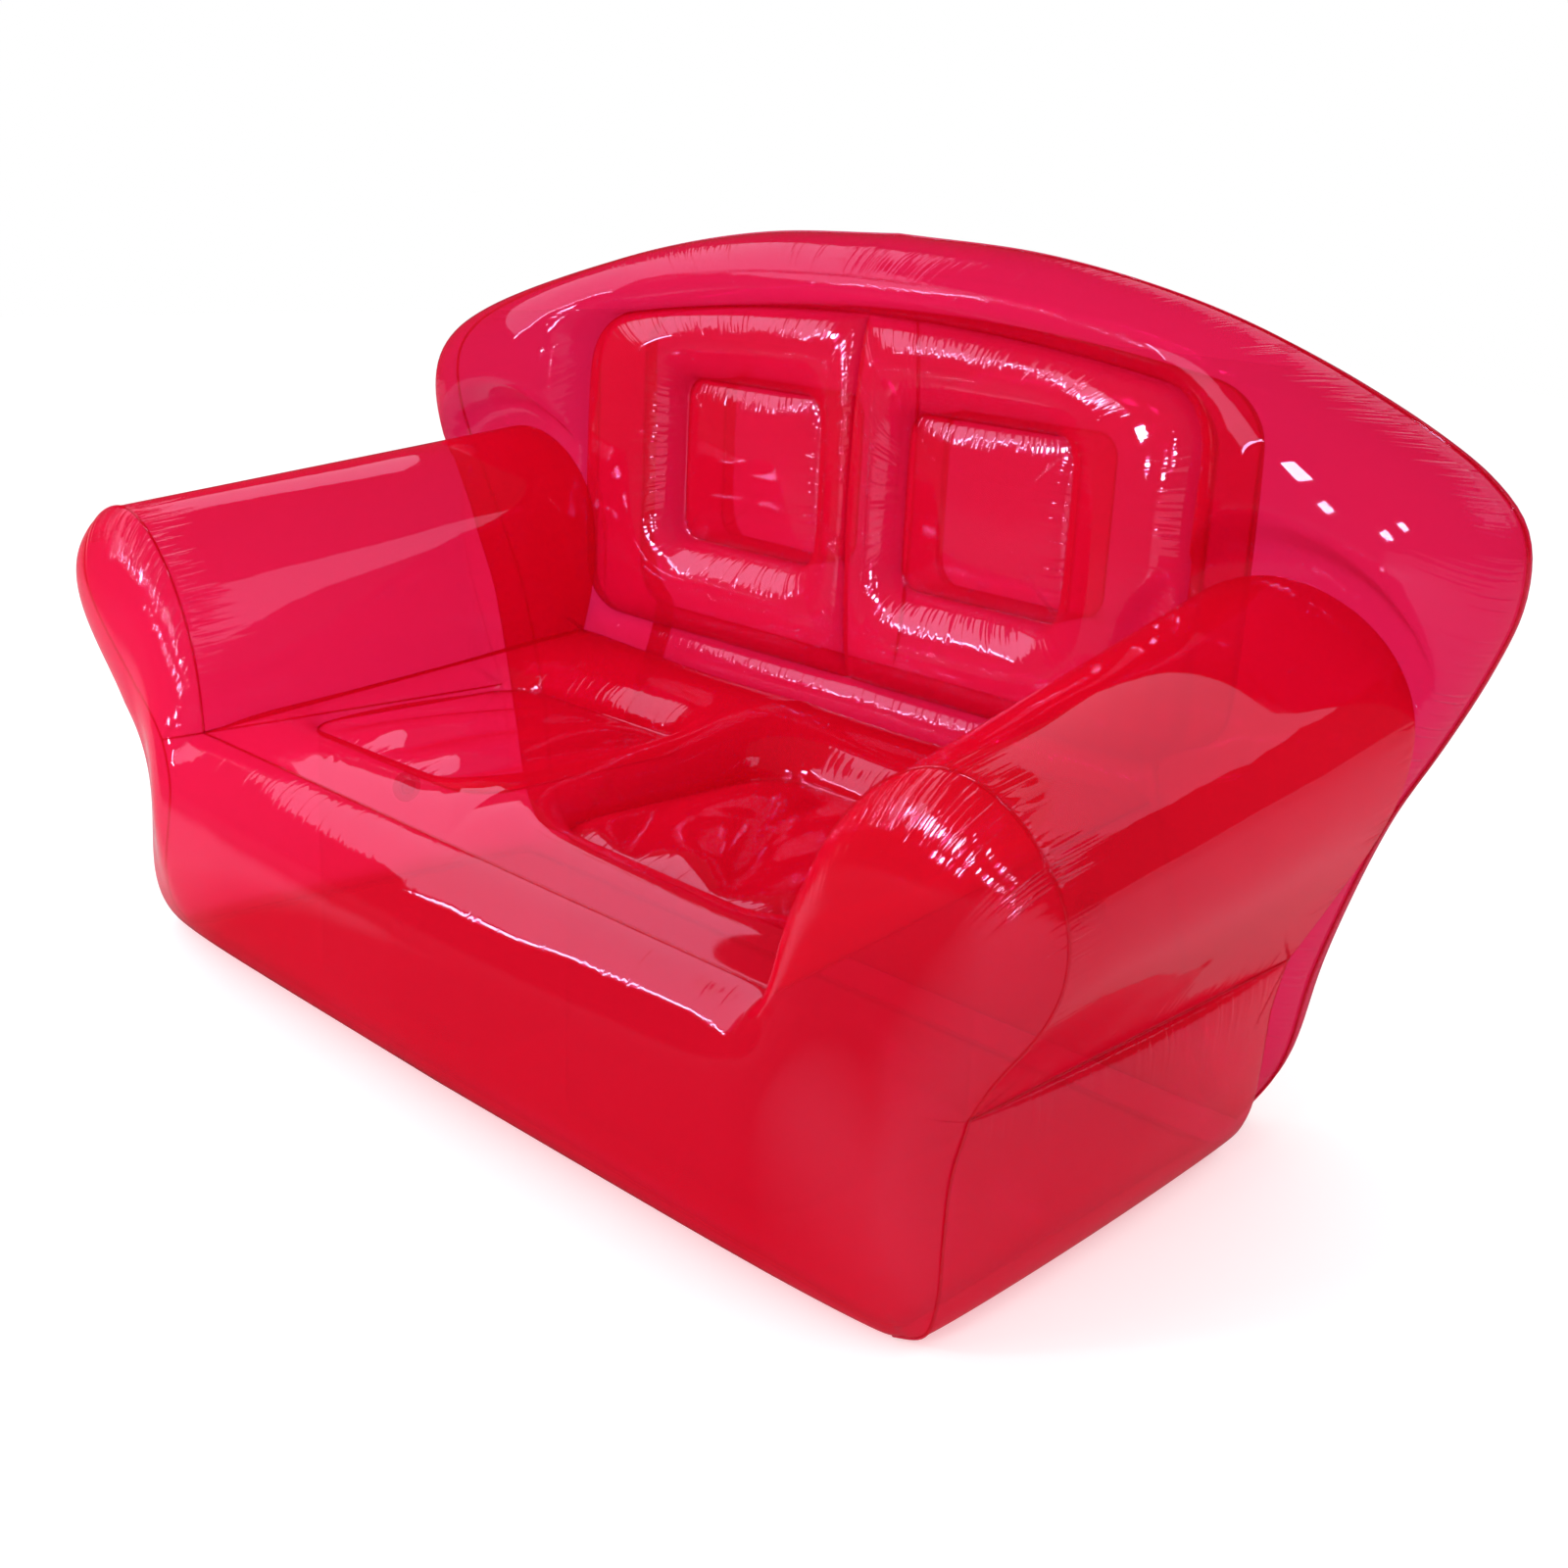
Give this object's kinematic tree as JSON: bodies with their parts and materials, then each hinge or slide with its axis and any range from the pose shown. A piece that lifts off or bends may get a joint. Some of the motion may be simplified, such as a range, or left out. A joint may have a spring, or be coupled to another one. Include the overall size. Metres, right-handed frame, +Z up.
{
  "type": "inflatable two-seat sofa",
  "caption": "Clear hot-pink inflatable two-seat sofa: rolled arms, sunken square quilts in seat and back, arched back with side lobes, and capped air valves.",
  "frame": {"origin": "on the floor, under the middle of the sofa's length and depth", "axes": "+X towards the sofa's own right arm as the viewer faces it, the front faces -Y, +Z up"},
  "size_m": [1.614, 0.7972, 0.89],
  "materials": {
    "base_film": "clear glossy red-pink vinyl film, deeper red where layers stack",
    "back_film": "clear glossy magenta-pink vinyl film",
    "valve_plastic": "milky clear moulded vinyl, softly glossy",
    "valve_flap": "soft pale check flap, matt"
  },
  "bodies": {
    "sofa_body": {"front_panel": "base_film", "seat_panel": "base_film", "right_arm_panel": "base_film", "left_arm_panel": "base_film", "right_side_panel": "base_film", "left_side_panel": "base_film", "bottom_panel": "base_film", "base_rear_panel": "base_film", "back_front_panel": "back_film", "back_rear_panel": "back_film", "back_loop_band": "back_film", "right_window_band": "back_film", "left_window_band": "back_film", "right_seat_band": "base_film", "left_seat_band": "base_film", "right_arm_web": "base_film", "left_arm_web": "base_film", "base_valve_seat": "valve_plastic", "back_valve_seat": "valve_plastic"},
    "base_valve_insert_body": {"base_valve_insert": "valve_plastic"},
    "base_valve_flap_body": {"base_valve_flap": "valve_flap"},
    "base_valve_stopper_body": {"base_valve_stopper": "valve_plastic"},
    "back_valve_insert_body": {"back_valve_insert": "valve_plastic"},
    "back_valve_flap_body": {"back_valve_flap": "valve_flap"},
    "back_valve_stopper_body": {"back_valve_stopper": "valve_plastic"}
  },
  "joints": [
    {"name": "base_valve_insert_pull", "type": "slide", "parent": "sofa_body", "child": "base_valve_insert_body", "axis": [-0.9902, 0.0822, -0.1129], "range_m": [0, 0.02]},
    {"name": "base_valve_stopper_pull", "type": "slide", "parent": "base_valve_insert_body", "child": "base_valve_stopper_body", "axis": [-0.9902, 0.0822, -0.1129], "range_m": [0, 0.016]},
    {"name": "base_valve_flap_swing", "type": "hinge", "parent": "base_valve_insert_body", "child": "base_valve_flap_body", "pos_m": [-0.64637, 0.05568, 0.10531], "axis": [0.1053, -0.0918, -0.9902], "range_deg": [0, 45], "stiffness_Nm_per_rad": 0.003, "springref_deg": -5.73},
    {"name": "back_valve_insert_pull", "type": "slide", "parent": "sofa_body", "child": "back_valve_insert_body", "axis": [0.0032, 0.9929, -0.1193], "range_m": [0, 0.02]},
    {"name": "back_valve_stopper_pull", "type": "slide", "parent": "back_valve_insert_body", "child": "back_valve_stopper_body", "axis": [0.0032, 0.9929, -0.1193], "range_m": [0, 0.016]},
    {"name": "back_valve_flap_swing", "type": "hinge", "parent": "back_valve_insert_body", "child": "back_valve_flap_body", "pos_m": [0.32563, 0.33724, 0.16539], "axis": [-1, 0.0036, 0.0032], "range_deg": [0, 45], "stiffness_Nm_per_rad": 0.003, "springref_deg": -5.73}
  ]
}
